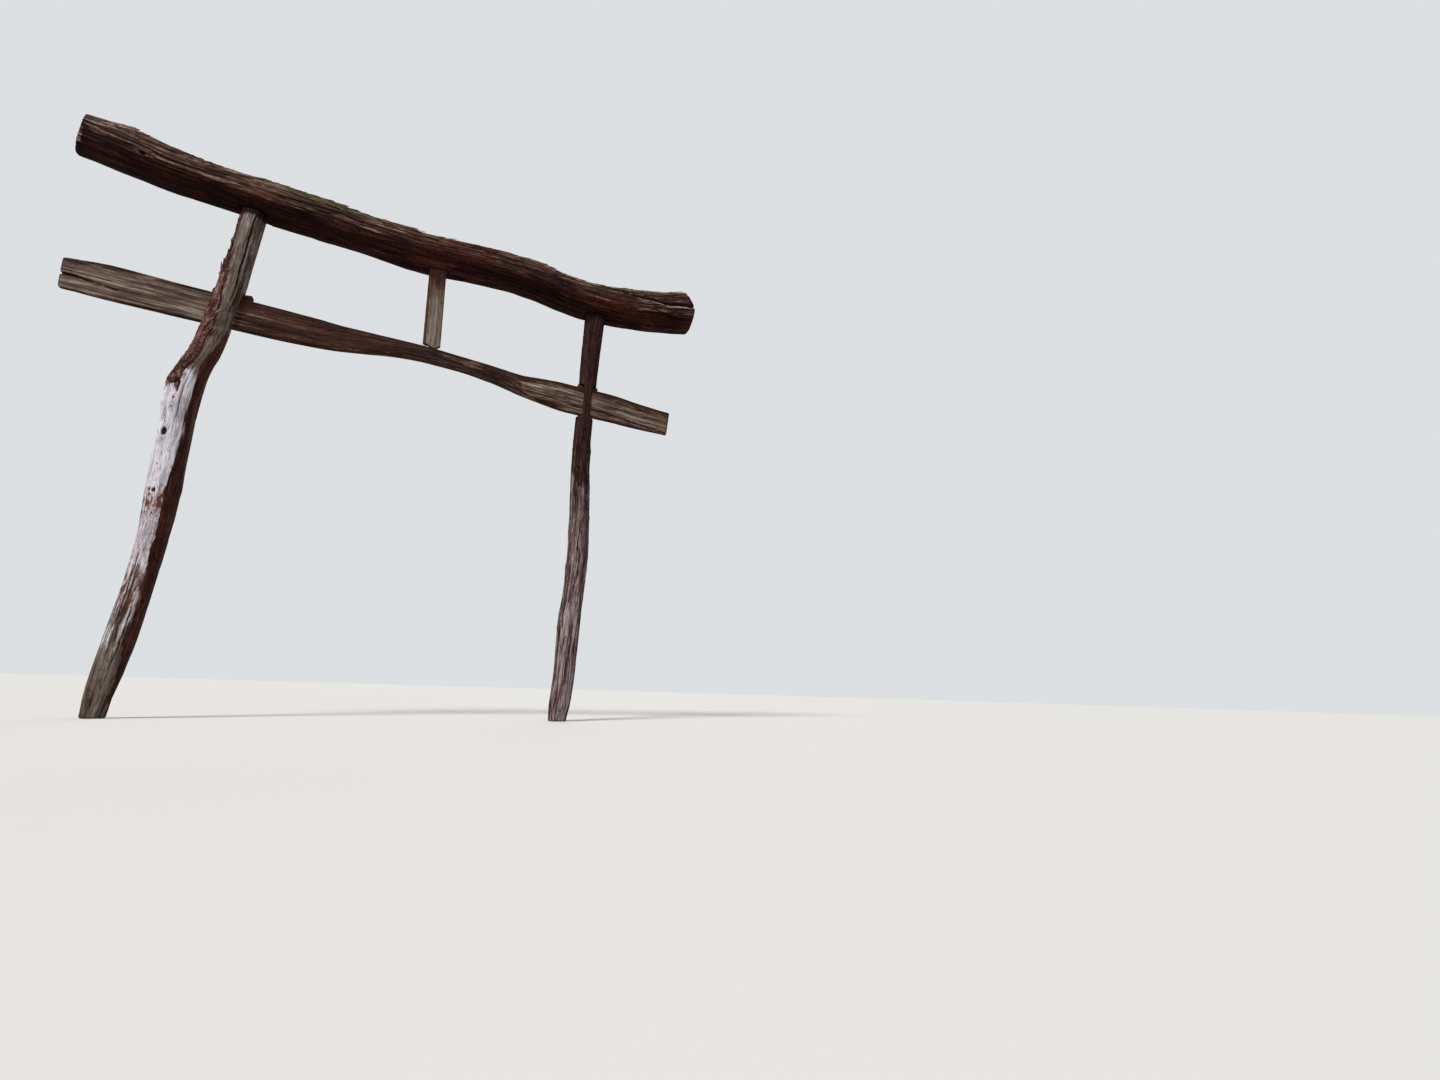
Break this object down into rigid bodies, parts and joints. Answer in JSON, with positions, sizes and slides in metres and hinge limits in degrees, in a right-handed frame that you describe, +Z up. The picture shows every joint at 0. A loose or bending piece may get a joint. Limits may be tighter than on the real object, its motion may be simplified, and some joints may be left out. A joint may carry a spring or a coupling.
{
  "type": "rustic log torii gate",
  "caption": "Rustic torii gate of natural logs: two posts, a bent top log, a wedged hewn tie beam and a narrow bare name board.",
  "frame": {"origin": "centre of the left post's flat foot, at ground level", "axes": "+X along the gate from the left post to the right post, +Z up, the front faces -Y"},
  "size_m": [3.4651, 0.3119, 3.1275],
  "materials": {
    "pale_log": "weathered, partly barked log, rough",
    "bark_log": "fibrous cedar bark, rough",
    "dark_bark": "dark fibrous bark with sawn ends, rough",
    "hewn_timber": "hewn and weathered grey-brown, rough",
    "board": "bare weathered plank, rough",
    "wedge": "split dark wood, rough",
    "peg": "whittled round peg, rough",
    "loose_bark": "shaggy reddish bark, rough"
  },
  "bodies": {
    "root": {"post_left": "pale_log", "post_right": "bark_log", "top_log": "dark_bark", "tie_beam": "hewn_timber", "name_board": "board", "wedge_left_outer": "wedge", "wedge_left_inner": "wedge", "wedge_right_inner": "wedge", "wedge_right_outer": "wedge", "peg_left": "peg", "peg_right": "peg", "peg_board": "peg", "bark_left": "loose_bark"}
  },
  "joints": []
}
